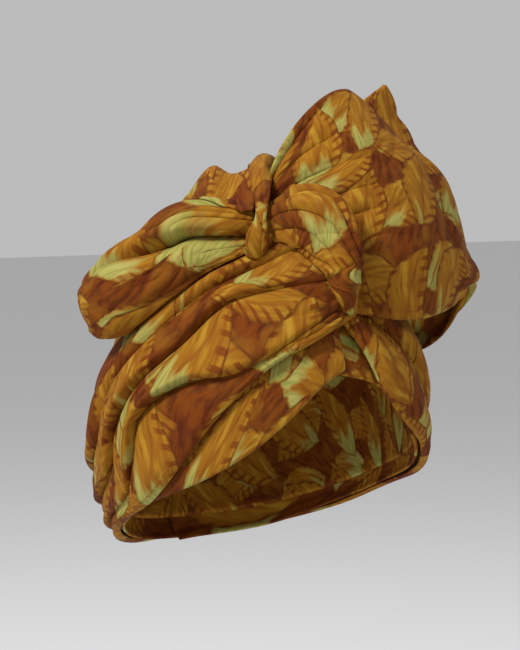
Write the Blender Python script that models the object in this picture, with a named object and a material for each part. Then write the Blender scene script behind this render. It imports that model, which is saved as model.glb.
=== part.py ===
"""A wrapped and knotted head cloth: a crown, two wound layers a side, and a knot with a loop and a fan.

Lengths in the tables are millimetres and angles are degrees. The front of the head faces -Y and the
wearer's left is +X. A place on the head is (around, up): around is the angle from the front towards
the wearer's left, and up is the angle above the brow line's level, both seen from the origin, which
is the middle of the head at that level.
"""

import bpy
import numpy as np
from mathutils import Vector
from mathutils.bvhtree import BVHTree

MM = 0.001

# The head that the cloth is wound on
HEAD_HALF_WIDTH = 73.5
HEAD_FRONT = 87.0
HEAD_BACK = 95.0
HEAD_TOP = 99.0
HEAD_TAPER = 97.0
HEAD_ROUNDNESS = 2.2

# The cloth, how far outside the head the inner side of each layer lies, and how far what lies on the
# layers is lifted clear of them
WALL = 1.6
CROWN_REST = 0.4
UNDER_LEFT_REST = 2.9
UNDER_RIGHT_REST = 5.4
OVER_LEFT_REST = 5.6
OVER_RIGHT_REST = 8.0
LIFT = 0.5
LEAST_GAP = 0.5
SETTLE_STEP = 0.2
SETTLE_ROUNDS = 60
CROWN_EDGE = 6.0
CROWN_GATHERS = 10
GATHER_DEPTH = 1.5
GATHER_REACH = 46.0
CROWN_LAST_SHARE = 0.04
UNDER_SWELL = 0.5
KNOT_FOOT = (-10.0, -22.0, 100.0)
REACH = 400.0

# How finely each piece is faceted, as points along it and across it
WRAP_GRID = (27, 5)
UNDER_GRID = (28, 5)
CROWN_GRID = (13, 48)
LOOP_GRID = (17, 22)
FAN_GRID = (16, 24)
PEAK_GRID = (13, 12)
TWIST_GRID = (15, 28)
STRAP_GRID = (26, 7)

RUST = (0.36, 0.13, 0.03)
OCHRE = (0.62, 0.33, 0.05)

ROOT = bpy.data.objects.new("turban", None)

# The brow edge of the cloth on the wearer's right: it runs from the middle of the forehead, in front
# of the ear, to the nape. The left side is its mirror image.
BROW_LINE = (
    # station, around, up
    (0.00, -2, 22),
    (0.10, -11, 17),
    (0.20, -22, 7),
    (0.30, -34, -3),
    (0.42, -52, -14),
    (0.56, -78, -25),
    (0.74, -110, -36),
    (0.87, -145, -43),
    (1.00, -179.75, -45),
)

# How far the first layer reaches up from that edge, in degrees: under the crossing in front it is deeper
UNDER_RIGHT_DEPTHS = (
    # station, depth
    (0.00, 13),
    (0.10, 20),
    (0.20, 25),
    (0.30, 25),
    (0.42, 19),
    (0.56, 14),
    (1.00, 14),
)
UNDER_LEFT_DEPTHS = (
    # station, depth
    (0.00, 18),
    (0.10, 18),
    (0.20, 16),
    (0.30, 14),
    (1.00, 14),
)

# How far the left side of the first layer goes on under the right side, at the front and at the nape
BROW_LAP = 10.0
NAPE_LAP = 9.0

# Lines of the outer layer on the wearer's right, from its edge up to where the loop hides it. Each
# runs from the front crossing, round the side, to the back, where its end laps over the left side.
STATIONS = (0.00, 0.10, 0.20, 0.30, 0.40, 0.50, 0.60, 0.72, 0.86, 1.00)
OVER_RIGHT_LINES = {
    "edge": {
        "around": (4, -13, -28, -44, -58, -72, -86, -112, -146, -187),
        "up": (37, 30, 23, 9, -8, -21, -28, -36, -42, -42.5),
        "lift": (3, 0, 0, 0, 0, 0, 0, 0, 0, 1.2),
    },
    "shadow_fold": {
        "around": (0, -18, -38, -58, -78, -84, -90, -113, -146, -188),
        "up": (40, 32, 22, 19, 7, -10, -22, -31, -37, -39),
        "lift": (7, 1, 0, 0, 0, 0, 0, 0, 0, 1.2),
    },
    "middle_fold": {
        "around": (-8, -28, -46, -60, -80, -94, -99, -116, -147, -190),
        "up": (44, 45, 42, 31, 18, 2, -12, -23, -30, -32),
        "lift": (12, 3, 0, 0, 0, 0, 0, 0, 0, 1.2),
    },
    "upper_fold": {
        "around": (-18, -34, -52, -68, -88, -104, -111, -124, -149, -191),
        "up": (52, 52, 48, 40, 26, 10, -3, -14, -21, -23),
        "lift": (17, 4, 0, 0, 0, 0, 0, 0, 0, 1.2),
    },
    "top": {
        "around": (-29, -42, -57, -78, -98, -116, -126, -138, -156, -190),
        "up": (60, 63, 59, 50, 40, 27, 14, 4, -4, -7),
        "lift": (9, -1, -4, -4.4, -4.4, -4.4, -4.4, -4.4, -3.8, -1.6),
    },
}
OVER_RIGHT_FOLDS = (
    # lean, then the fold's height at each station
    (0.7, (2.0, 2.0, 2.0, 3.0, 4.0, 4.5, 3.5, 3.0, 3.0, 3.0)),
    (0.5, (3.0, 5.0, 8.0, 9.0, 7.5, 6.0, 4.5, 4.0, 4.0, 4.0)),
    (0.5, (3.0, 4.5, 6.0, 7.5, 7.5, 6.5, 5.0, 4.5, 4.5, 4.5)),
    (0.6, (5.0, 6.5, 6.5, 5.5, 5.5, 5.5, 5.5, 5.0, 4.5, 4.0)),
)
OVER_LEFT_LINES = {
    "edge": {
        "around": (-2, 6, 13, 24, 38, 56, 80, 112, 146, 179.75),
        "up": (38, 26, 13, 3, -5, -16, -25, -36, -42, -44),
        "lift": (0, 0, 0, 0, 0, 0, 0, 0, 0, 0),
    },
    "roll": {
        "around": (1, 14, 26, 40, 55, 72, 92, 118, 148, 179.75),
        "up": (43, 36, 27, 16, 5, -6, -15, -26, -33, -35),
        "lift": (0, 0, 0, 0, 0, 0, 0, 0, 0, 0),
    },
    "upper_fold": {
        "around": (6, 22, 38, 54, 70, 86, 104, 128, 152, 179.75),
        "up": (50, 48, 42, 33, 22, 10, -1, -12, -20, -23),
        "lift": (0, 0, 0, 0, 0, 0, 0, 0, 0, 0),
    },
    "top": {
        "around": (14, 32, 52, 70, 86, 102, 118, 138, 157, 179.75),
        "up": (58, 59, 56, 49, 39, 28, 16, 4, -4, -7),
        "lift": (0, 0, 0, 0, -2, -2.6, -2.6, -2.6, -2.6, -2.6),
    },
}
OVER_LEFT_FOLDS = (
    (0.7, (2.0, 3.5, 4.5, 5.0, 5.0, 5.0, 4.5, 4.0, 3.0, 0.3)),
    (0.5, (2.0, 3.5, 4.5, 5.0, 5.0, 5.0, 5.0, 4.5, 3.5, 0.3)),
    (0.6, (2.0, 3.0, 3.5, 3.5, 4.0, 4.0, 4.5, 4.5, 3.5, 0.3)),
)

# The drooping loop on the wearer's right: the middle of each section, half its height and half its
# depth, and how deep the crease between its two lobes is and where it lies, in degrees up the front.
LOOP_SECTIONS = (
    # station, x, y, z, half height, half depth, crease, crease at
    (0.00, -32, -47, 103, 14, 11, 4.0, 0),
    (0.14, -43, -41, 102, 16, 13, 8.0, 2),
    (0.30, -56, -29, 98, 19, 15, 10.0, 15),
    (0.50, -69, -16, 87, 21, 16, 9.5, 50),
    (0.68, -79, -1, 76, 22, 17, 7.0, 70),
    (0.83, -85, 13, 66, 20, 15, 3.0, 75),
    (0.95, -88, 21, 60, 15.5, 9, 1.0, 75),
    (1.00, -89, 24, 58, 10, 4, 0.0, 75),
)
CREASE_WIDTH = 0.4

# The layer behind the top of that loop, with a small peak: its upper edge, how far it reaches down to
# the loop in front and how far it falls behind. The rows go from the knot outwards.
PEAK_SECTIONS = (
    # station, x, y, z, reach, fall
    (0.00, -15, -32, 141, 39, 50),
    (0.30, -28, -19, 133, 34, 44),
    (0.50, -34, -10, 137, 36, 46),
    (0.78, -44, -3, 123, 17, 41),
    (1.00, -50, 2, 114, 10, 32),
)
PEAK_REACH_WAY = (-0.55, -0.60, -0.55)
PEAK_FALL_WAY = (0.30, 0.75, -0.95)

# The standing fan on the wearer's left: a broad band folded back on itself. There is a value for each
# section, from the tip down to the hem. The front face starts at the neck, swells out and up, and
# ends at the rim; the rear face swells back and down from there to the rear neck.
FAN_SECTIONS = {
    "station": (0.00, 0.20, 0.40, 0.60, 0.80, 1.00),
    "neck_x": (-22, -22, -22, -19, -11, 1),
    "neck_y": (-47, -49, -52, -51, -60, -76),
    "neck_z": (125, 122, 119, 102, 86, 66),
    "rim_x": (61, 74, 89, 96, 100, 95),
    "rim_y": (-28, -36, -45, -52, -59, -59),
    "rim_z": (181, 149, 127, 99, 78, 72),
    "swell": (5, 15, 23, 31, 29, 19),
    "arch": (27, 26, 18, 20, 13, -9),
    "arch_width": (0.69, 0.86, 1.00, 1.00, 0.90, 1.00),
    "arch_fullness": (0.36, 0.52, 0.75, 0.80, 0.80, 0.80),
    "rear_x": (27, 24, 28, 39, 42, 42),
    "rear_y": (2, 3, 5, 3, -4, -8),
    "rear_z": (148, 136, 118, 101, 92, 78),
    "rear_swell": (22, 30, 37, 43, 38, 15),
    "rear_arch": (2, 7, 2, -5, -22, -42),
}
REAR_FULLNESS = 0.8
FAN_FRONT_SHARE = 0.55

# The gathered bundle that crosses the front of the knot and tucks into the hollow under it
TWIST_SECTIONS = (
    # station, x, y, z, half height, half depth
    (0.00, -28, -56, 113, 6, 5),
    (0.16, -25, -67, 111, 15, 8),
    (0.36, -17, -77, 111, 18, 9),
    (0.58, -10, -85, 102, 16, 9),
    (0.78, -6, -91, 87, 10, 8),
    (0.92, -4, -92, 74, 5.5, 5),
    (1.00, 1, -86, 66, 4, 3),
)
TWIST_STRANDS = 5
STRAND_DEPTH = 0.12

# The strap that holds the knot: it rises from behind the outer layer's top fold, passes over the front
# and the top of the knot between the loop and the fan, and comes down on the crown behind.
STRAP_SECTIONS = (
    # station, x, y, z, half width, how far its edges droop
    (0.00, -34, -46, 84, 2.0, 1.0),
    (0.12, -39, -61, 94, 5.0, 1.2),
    (0.20, -41, -66, 103, 6.0, 1.4),
    (0.30, -40, -67, 113, 2.8, 1.0),
    (0.40, -36, -62, 124, 3.8, 1.5),
    (0.53, -27, -46, 138, 5.8, 3.5),
    (0.66, -15, -29, 145, 8.5, 6.0),
    (0.80, -1, -10, 138, 10.5, 8.0),
    (0.92, 7, 6, 116, 11.0, 8.0),
    (1.00, 9, 14, 92, 10.0, 6.0),
)
# How many of the strap's rows, from its lower end up, lie in front of the fan
STRAP_CROSSING = 10


def through(rows, at):
    """A smooth curve through rows of (station, value, value, ...), read at the stations in at."""
    rows = np.asarray(rows, float)
    at = np.clip(np.asarray(at, float), rows[0, 0], rows[-1, 0])
    knots, values = rows[:, 0], rows[:, 1:]
    slope = np.gradient(values, knots, axis=0)
    i = np.clip(np.searchsorted(knots, at, side="right") - 1, 0, len(knots) - 2)
    span = (knots[i + 1] - knots[i])[..., None]
    t = (at - knots[i])[..., None] / span
    start = (2 * t**3 - 3 * t**2 + 1) * values[i] + (t**3 - 2 * t**2 + t) * span * slope[i]
    end = (3 * t**2 - 2 * t**3) * values[i + 1] + (t**3 - t**2) * span * slope[i + 1]
    return start + end


def unit(v):
    return v / np.maximum(np.linalg.norm(v, axis=-1, keepdims=True), 1e-9)


def head_radius(direction):
    """How far the head's surface is from the origin along unit directions."""
    x, y, z = np.moveaxis(direction, -1, 0)
    depth = np.where(y < 0, HEAD_FRONT, HEAD_BACK)
    height = np.where(z > 0, HEAD_TOP, HEAD_TAPER)
    level = np.abs(x / HEAD_HALF_WIDTH) ** HEAD_ROUNDNESS + np.abs(y / depth) ** HEAD_ROUNDNESS
    return (level + np.abs(z / height) ** HEAD_ROUNDNESS) ** (-1 / HEAD_ROUNDNESS)


def on_head(around, up, stand_off):
    """The point at that place on the head, stand_off outside its surface."""
    a, e = np.radians(around), np.radians(up)
    direction = np.stack([np.cos(e) * np.sin(a), -np.cos(e) * np.cos(a), np.sin(e)], -1)
    return direction * (head_radius(direction) + stand_off)[..., None]


def grid_normals(grid, closed_across=False):
    """Unit normals of a grid of points, rows along and columns across."""
    along = np.gradient(grid, axis=0)
    if closed_across:
        across = np.roll(grid, -1, 1) - np.roll(grid, 1, 1)
    else:
        across = np.gradient(grid, axis=1)
    return unit(np.cross(along, across))


def cloth_colour(name, colour):
    material = bpy.data.materials.new(name)
    material.use_nodes = True
    shader = material.node_tree.nodes["Principled BSDF"]
    shader.inputs["Base Color"].default_value = (*colour, 1.0)
    shader.inputs["Roughness"].default_value = 0.8
    shader.inputs["Metallic"].default_value = 0.0
    return material


def add_object(name, points, faces, colour, outer_count):
    """Adds a piece, moved clear of the pieces already there. Its first outer_count points are its outside."""
    mesh = bpy.data.meshes.new(name)
    mesh.from_pydata((np.asarray(points) * MM).tolist(), [], faces)
    mesh.update()
    mesh.materials.append(cloth_colour(name, colour))
    mesh.shade_smooth()
    obj = bpy.data.objects.new(name, mesh)
    settle(obj, outer_count, list(ROOT.children))
    obj.parent = ROOT
    bpy.context.collection.objects.link(obj)
    return obj


def sheet(name, outer, inner, colour, closed_across=False, capped=False):
    """A cloth wall between two grids of points. Rows cross columns so that the outer one faces out.
    A capped wall is a bag: the last row of each grid is closed over, and inner has a row less."""
    columns = outer.shape[1]

    def wall(i, j):
        return i * columns + j % columns

    def lining(i, j):
        return outer.shape[0] * columns + wall(i, j)

    faces = []
    last = columns if closed_across else columns - 1
    for rows, at, turned in ((outer.shape[0], wall, False), (inner.shape[0], lining, True)):
        for i in range(rows - 1):
            for j in range(last):
                quad = [at(i, j), at(i + 1, j), at(i + 1, j + 1), at(i, j + 1)]
                faces.append(quad[::-1] if turned else quad)
        if capped:
            ring = [at(rows - 1, j) for j in range(columns)]
            faces.append(ring if turned else ring[::-1])
    end = outer.shape[0] - 1
    for j in range(last):
        faces.append([wall(0, j), wall(0, j + 1), lining(0, j + 1), lining(0, j)])
        if not capped:
            faces.append([wall(end, j + 1), wall(end, j), lining(end, j), lining(end, j + 1)])
    if not closed_across:
        for i in range(end):
            faces.append([wall(i + 1, 0), wall(i, 0), lining(i, 0), lining(i + 1, 0)])
            faces.append([wall(i, last), wall(i + 1, last), lining(i + 1, last), lining(i, last)])
    points = np.concatenate([outer.reshape(-1, 3), inner.reshape(-1, 3)])
    return add_object(name, points, faces, colour, outer.size // 3)


def mirrored(line):
    return tuple((station, -around, up) for station, around, up in line)


def lapped(line):
    """The left side's line, carried on past the middle at the front and at the back."""
    first, last = line[0], line[-1]
    first = (first[0], first[1] - BROW_LAP, first[2])
    return (first, *line[1:-1], (last[0], last[1] + NAPE_LAP, last[2]))


def fold_profile(share, lean):
    """The height of a fold across its width, from 0 through 1 to 0, highest nearer its lower side if lean < 1."""
    return np.sin(np.pi * np.clip(share, 0, 1) ** lean) ** 0.8


def wound_layer(name, lines, folds, rest, turned=False):
    """A layer of cloth wound on the head, with a rounded fold between each line and the next."""
    along, across = WRAP_GRID
    stations = np.linspace(0, 1, along)
    paths = [
        through(np.column_stack([STATIONS, line["around"], line["up"], line["lift"]]), stations)
        for line in lines.values()
    ]
    columns, heights = [], []
    for number, (lean, tall) in enumerate(folds):
        height = through(np.column_stack([STATIONS, tall]), stations)[:, 0]
        last = number == len(folds) - 1
        for share in np.linspace(0, 1, across)[: None if last else -1]:
            place = paths[number] * (1 - share) + paths[number + 1] * share
            columns.append(place)
            heights.append(rest + place[:, 2] + height * fold_profile(share, lean))
    place, height = np.stack(columns, 1), np.stack(heights, 1)
    outer = on_head(place[..., 0], place[..., 1], height + WALL)
    inner = on_head(place[..., 0], place[..., 1], height)
    if turned:
        outer, inner = outer[:, ::-1], inner[:, ::-1]
    return sheet(name, outer, inner, OCHRE)


def under_layer(name, brow, depths, rest, turned=False):
    """The first layer, a strip along the brow edge. Its lower edge is turned in as a soft rounded fold."""
    stations = np.linspace(0, 1, UNDER_GRID[0])
    edge = through(brow, stations)
    shares = np.linspace(0, 1, UNDER_GRID[1])
    around = edge[:, None, 0] + 0 * shares
    up = edge[:, None, 1] + through(depths, stations) * shares
    height = rest + UNDER_SWELL * np.sin(np.pi * np.minimum(shares * 2, 1)) + 0 * around
    outer, inner = on_head(around, up, height + WALL), on_head(around, up, height)
    if turned:
        outer, inner = outer[:, ::-1], inner[:, ::-1]
    return sheet(name, outer, inner, RUST)


def build_crown():
    """The shell over the top and back of the head, open below, gathered towards the knot."""
    brow = np.concatenate([mirrored(BROW_LINE)[::-1], BROW_LINE[1:]])[:, 1:]
    rows, columns = CROWN_GRID
    turn = np.linspace(0, 1, columns, endpoint=False)
    brow = through(np.column_stack([np.linspace(0, 1, len(brow)), brow]), turn)
    lower = unit(on_head(brow[:, 0], brow[:, 1] + CROWN_EDGE, 0.0))
    middle = unit(np.array(KNOT_FOOT))
    share = np.linspace(1, CROWN_LAST_SHARE, rows)[:, None]
    angle = np.arccos(lower @ middle)
    blend = np.sin((1 - share) * angle)[..., None] * middle + np.sin(share * angle)[..., None] * lower
    direction = unit(blend)
    gather = np.cos(2 * np.pi * turn * CROWN_GATHERS) * 0.5 + 0.5
    fade = np.sin(np.pi * np.clip(share * np.degrees(angle) / GATHER_REACH, 0, 1))
    height = CROWN_REST + GATHER_DEPTH * gather * fade
    far = head_radius(direction) + height
    outer, inner = direction * (far + WALL)[..., None], direction * far[..., None]
    return sheet("crown", outer, inner[:-1], OCHRE, closed_across=True, capped=True)


def build_tree(obj):
    """The object's surface in millimetres, for finding what lies on it."""
    points = [v.co / MM for v in obj.data.vertices]
    return BVHTree.FromPolygons(points, [tuple(p.vertices) for p in obj.data.polygons])


def resting(points, pieces, gap):
    """The points, those inside or too near the pieces moved straight out from the head to clear them."""
    trees = [build_tree(piece) for piece in pieces]
    flat = points.reshape(-1, 3).copy()
    for number, point in enumerate(flat):
        far = np.linalg.norm(point)
        direction = Vector(point / far)
        for tree in trees:
            hit = tree.ray_cast(direction * REACH, -direction, REACH)[0]
            if hit is not None and hit.length + gap > far:
                far = hit.length + gap
        flat[number] = np.array(direction) * far
    return flat.reshape(points.shape)


def settle(piece, outer_count, others):
    """Moves what touches the others straight out from the head, a little at a time, both sides of the wall."""
    trees = [build_tree(other) for other in others]
    points = piece.data.vertices
    for _ in range(SETTLE_ROUNDS):
        tree = build_tree(piece)
        moved = set()
        for other in trees:
            for face, _ in tree.overlap(other):
                moved.update(piece.data.polygons[face].vertices)
            moved.update(p.index for p in points if other.find_nearest(p.co / MM, LEAST_GAP)[0])
        for other in others:
            for point in other.data.vertices:
                face = tree.find_nearest(point.co / MM, LEAST_GAP)[2]
                if face is not None:
                    moved.update(piece.data.polygons[face].vertices)
        if not moved:
            return
        moved |= {i + outer_count for i in moved if i + outer_count < len(points)}
        moved |= {i - outer_count for i in moved if i >= outer_count}
        for i in moved:
            points[i].co *= 1 + SETTLE_STEP * MM / points[i].co.length


def tube_frames(axis):
    """For each point of a line of points: the way up across the line, and the way out to its side."""
    along = unit(np.gradient(axis, axis=0))
    rise = np.array([0.0, 0.0, 1.0]) - along * along[:, 2:]
    rise = unit(rise)
    return rise, unit(np.cross(rise, along))


def build_right_loop(under):
    """A bag of cloth, open at the knot and closed at its far end, creased along its outer side."""
    rows = through(LOOP_SECTIONS, np.linspace(0, 1, LOOP_GRID[0]))
    rise, side = tube_frames(rows[:, :3])
    turn = np.linspace(2 * np.pi, 0, LOOP_GRID[1], endpoint=False)
    from_crease = (turn - np.radians(rows[:, 6, None]) + np.pi) % (2 * np.pi) - np.pi
    inwards = rows[:, 5, None] * np.exp(-((from_crease / CREASE_WIDTH) ** 2))
    tall = rows[:, 3, None] * np.sin(turn) + inwards * -np.sin(np.radians(rows[:, 6, None]))
    deep = rows[:, 4, None] * np.cos(turn) - inwards * np.cos(np.radians(rows[:, 6, None]))
    outer = rows[:, None, :3] + side[:, None] * deep[..., None] + rise[:, None] * tall[..., None]
    outer = resting(outer, under, LIFT)
    normal = grid_normals(outer, closed_across=True)
    inner = (outer - normal * WALL)[:-1]
    return sheet("right_loop", outer, inner, OCHRE, closed_across=True, capped=True)


def humped(start, end, swell, arch, width, fullness, share):
    """Curves from start to end at the shares of their way, swollen sideways and arched upwards."""
    chord = end - start
    sideways = unit(np.cross(chord, np.array([0.0, 0.0, 1.0])))
    hump = np.sin(np.pi * share**0.8) ** 0.8
    rise = np.sin(np.pi * np.clip(share / width, 0, 1) ** 0.9) ** fullness
    curve = start[:, None] + chord[:, None] * share[..., None]
    curve = curve + sideways[:, None] * (swell * hump)[..., None]
    return curve + np.array([0.0, 0.0, 1.0]) * (arch * rise)[..., None]


def build_fan(under):
    """Front face, outer rim and rear face in one sheet, open above, below and towards the knot."""
    along, across = FAN_GRID
    stations = np.linspace(0, 1, along)
    table = through(np.array(list(FAN_SECTIONS.values())).T, stations)
    neck, rim = table[:, 0:3], table[:, 3:6]
    swell, arch, width, fullness = table[:, 6:7], table[:, 7:8], table[:, 8:9], table[:, 9:10]
    rear, rear_swell, rear_arch = table[:, 10:13], table[:, 13:14], table[:, 14:15]
    front_count = round(across * FAN_FRONT_SHARE)
    share = np.linspace(0, 1, front_count) + 0 * width
    back_share = np.linspace(0, 1, across - front_count + 1)[1:] + 0 * width
    front = humped(neck, rim, swell, arch, width, fullness, share)
    back = humped(rear, rim, -rear_swell, rear_arch, 1, REAR_FULLNESS, 1 - back_share)
    outer = resting(np.concatenate([front, back], 1), under, LIFT + WALL)
    return sheet("left_fan", outer, outer - grid_normals(outer) * WALL, OCHRE)


def build_peak(under):
    """A layer arched over its upper edge, from the crown behind to the top of the loop in front."""
    along, across = PEAK_GRID
    rows = through(PEAK_SECTIONS, np.linspace(0, 1, along))
    edge = rows[:, :3]
    front = edge + rows[:, 3:4] * np.array(PEAK_REACH_WAY)
    rear = edge + rows[:, 4:5] * np.array(PEAK_FALL_WAY)
    arch = np.stack([rear, edge, front], 1).reshape(len(rows), -1)
    knots = np.array([0.0, 0.5, 1.0])
    share = np.linspace(0, 1, across)
    grid = np.stack([through(np.column_stack([knots, row.reshape(3, 3)]), share) for row in arch])
    outer = resting(grid, under, LIFT + WALL)
    return sheet("right_peak", outer, outer - grid_normals(outer) * WALL, OCHRE)


def build_twist(under):
    rows = through(TWIST_SECTIONS, np.linspace(0, 1, TWIST_GRID[0]))
    rise, side = tube_frames(rows[:, :3])
    turn = np.linspace(2 * np.pi, 0, TWIST_GRID[1], endpoint=False)
    strands = 1 - STRAND_DEPTH * (1 - np.abs(np.cos(turn * TWIST_STRANDS / 2)))
    tall = rows[:, 3, None] * np.sin(turn) * strands
    deep = rows[:, 4, None] * np.cos(turn) * strands
    ring = rows[:, None, :3] + side[:, None] * deep[..., None] + rise[:, None] * tall[..., None]
    return solid_tube("knot_twist", resting(ring, under, LIFT), RUST)


def solid_tube(name, rings, colour):
    """A solid through closed rings of points, flat at its two ends."""
    rows, columns = rings.shape[:2]
    points = rings.reshape(-1, 3)
    faces = []
    for i in range(rows - 1):
        for j in range(columns):
            k = (j + 1) % columns
            faces.append([i * columns + j, (i + 1) * columns + j, (i + 1) * columns + k, i * columns + k])
    faces.append(list(range(columns)))
    faces.append([(rows - 1) * columns + j for j in reversed(range(columns))])
    return add_object(name, points, faces, colour, len(points))


def build_strap(under, fan):
    rows = through(STRAP_SECTIONS, np.linspace(0, 1, STRAP_GRID[0]))
    along = unit(np.gradient(rows[:, :3], axis=0))
    outward = unit(rows[:, :3] - rows[:, :3].mean(axis=0) * np.array([1.0, 1.0, 0.9]))
    across = unit(np.cross(outward, along))
    outward = np.cross(along, across)
    share = np.linspace(-1, 1, STRAP_GRID[1])
    outer = rows[:, None, :3] + across[:, None] * (rows[:, 3, None] * share)[..., None]
    outer = outer - outward[:, None] * (rows[:, 4, None] * share**2)[..., None]
    outer = resting(outer, under, LIFT + 1.5 * WALL)
    outer[:STRAP_CROSSING] = resting(outer[:STRAP_CROSSING], [fan], LIFT + 1.5 * WALL)
    return sheet("knot_strap", outer, outer - grid_normals(outer) * WALL, RUST)


def main():
    for obj in list(bpy.data.objects):
        if obj is not ROOT:
            bpy.data.objects.remove(obj)
    bpy.context.collection.objects.link(ROOT)
    crown = build_crown()
    under_layer("under_wrap_left", lapped(mirrored(BROW_LINE)), UNDER_LEFT_DEPTHS, UNDER_LEFT_REST)
    under_layer("under_wrap_right", BROW_LINE, UNDER_RIGHT_DEPTHS, UNDER_RIGHT_REST, turned=True)
    left = wound_layer("over_wrap_left", OVER_LEFT_LINES, OVER_LEFT_FOLDS, OVER_LEFT_REST)
    right = wound_layer("over_wrap_right", OVER_RIGHT_LINES, OVER_RIGHT_FOLDS, OVER_RIGHT_REST, turned=True)
    wraps = [crown, right, left]
    loop = build_right_loop(wraps)
    fan = build_fan(wraps)
    peak = build_peak([*wraps, loop])
    twist = build_twist([*wraps, fan])
    build_strap([*wraps, loop, peak, twist], fan)


main()
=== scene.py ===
"""The looks of a wound and knotted head cloth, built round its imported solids.

Lengths in the tables are millimetres and angles are degrees. The front of the head faces -Y and the
wearer's left is +X. A place on the head is (around, up): around is the angle from the front towards
the wearer's left, and up is the angle above the brow line's level, both seen from the origin.
"""

import bpy
import numpy as np
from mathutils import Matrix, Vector
from mathutils.bvhtree import BVHTree


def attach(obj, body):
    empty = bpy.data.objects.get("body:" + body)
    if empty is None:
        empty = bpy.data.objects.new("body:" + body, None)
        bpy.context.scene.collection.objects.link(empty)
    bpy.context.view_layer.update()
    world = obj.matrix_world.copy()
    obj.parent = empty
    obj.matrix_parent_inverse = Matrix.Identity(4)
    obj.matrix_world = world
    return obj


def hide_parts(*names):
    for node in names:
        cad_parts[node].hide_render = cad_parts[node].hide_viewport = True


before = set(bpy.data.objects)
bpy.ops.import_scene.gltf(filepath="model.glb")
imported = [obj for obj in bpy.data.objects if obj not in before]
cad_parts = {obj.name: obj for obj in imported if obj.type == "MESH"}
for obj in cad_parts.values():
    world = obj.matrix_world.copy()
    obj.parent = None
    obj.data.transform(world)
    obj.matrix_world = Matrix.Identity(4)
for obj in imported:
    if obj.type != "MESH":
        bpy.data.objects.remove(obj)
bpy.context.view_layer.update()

MM = 0.001

# The head that the cloth is wound on: half its width, its reach from the origin to the front, the
# back, the top and below, and how square its sections are
HEAD_HALF_WIDTH = 73.5
HEAD_FRONT = 87.0
HEAD_BACK = 95.0
HEAD_TOP = 99.0
HEAD_TAPER = 97.0
HEAD_ROUNDNESS = 2.2

# The cloth's wall, the share of it over which a free edge is rounded, and how far outside the head
# the middle of each layer lies
WALL = 1.7
EDGE_ROUNDING = 0.75
CROWN_REST = 1.2
UNDER_LEFT_REST = 3.7
UNDER_RIGHT_REST = 6.2
OVER_LEFT_REST = 6.4
OVER_RIGHT_REST = 8.8

# How far a piece stays clear of those it rests on, and how far out the rays that find them start
CLEAR = 1.05
LOOP_CLEAR = 2.2
REACH = 400.0

UPWARDS = np.array([0.0, 0.0, 1.0])

# What a piece with no stitched hem adds to its distance from the hem, in metres
FAR_FROM_HEM = 1.0

# The crown: its edge above the brow line, the knot's foot that its gathers run to, how near they come
# to it, and the dome that its print is spread over. Reaches are degrees from the knot's foot.
CROWN_EDGE = 6.0
CROWN_LAST_SHARE = 0.02
KNOT_FOOT = (-10.0, -22.0, 100.0)
CROWN_GATHERS = 34
GATHER_DEPTH = 3.2
GATHER_REACH = 46.0
GATHER_FADE = 0.8
GATHER_ROUNDNESS = 0.7
GATHER_MIDDLE = 0.3
GATHER_SWAY = 0.35
GATHER_SWAY_LENGTH = 14.0
CROWN_CREASES_FROM = 10.0
CROWN_CREASES_FULL = 40.0
DOME_MIDDLE = (0.0, 53.0, 85.0)
DOME_RADIUS = 95.0

# The brow edge of the cloth on the wearer's right; the left side is its mirror image
BROW_LINE = (
    # station, around, up
    (0.00, -2, 22),
    (0.10, -11, 17),
    (0.20, -22, 7),
    (0.30, -34, -3),
    (0.42, -52, -14),
    (0.56, -78, -25),
    (0.74, -110, -36),
    (0.87, -145, -43),
    (1.00, -179.75, -45),
)

# How far the first layer reaches up from that edge, in degrees: under the crossing in front it is deeper
UNDER_RIGHT_DEPTHS = (
    # station, depth
    (0.00, 13),
    (0.10, 20),
    (0.20, 25),
    (0.30, 25),
    (0.42, 19),
    (0.56, 14),
    (1.00, 14),
)
UNDER_LEFT_DEPTHS = (
    # station, depth
    (0.00, 18),
    (0.10, 18),
    (0.20, 16),
    (0.30, 14),
    (1.00, 14),
)

# How far the first layer's left side goes on under its right side, in front and at the nape, and how
# much lower it ends there, in degrees
BROW_LAP = 10.0
NAPE_LAP = 9.0
NAPE_DROP = 1.5

# The first layer's soft swell above its edge, and its waves: their height, their number along and
# across, and the share of its depth over which they grow
UNDER_SWELL = 0.7
UNDER_WAVE = 0.35
UNDER_WAVES = (16, 2.0)
UNDER_WAVE_GROWTH = 0.3

# The outer layer's folds: how far a crest hangs over the fold below, how flat the face above it is,
# how points crowd at its foot, how crest and height wander, and how fast creases fade at its top
OVERHANG = 0.16
FACE_FLATNESS = 0.85
COLUMN_CROWDING = 1.3
CREST_WANDER = 0.35
CREST_SWELLS = 6
LEAST_HEIGHT = 0.85
HEIGHT_WANDER = 0.3
HEIGHT_SWELLS = 9
FACE_FADE = 4

# Folds that the knot drags out of the outer layer round the crossing in front
CROSSING = (3.0, -96.0, 72.0)
DRAG_FOLDS = 15
DRAG_REACH = 60.0
DRAG_DEPTH = 2.4
DRAG_SWELL_LENGTH = 30.0

# The share of the right side's way from which it rests on the left side at the nape
LAP_SHARE = 0.90

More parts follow.
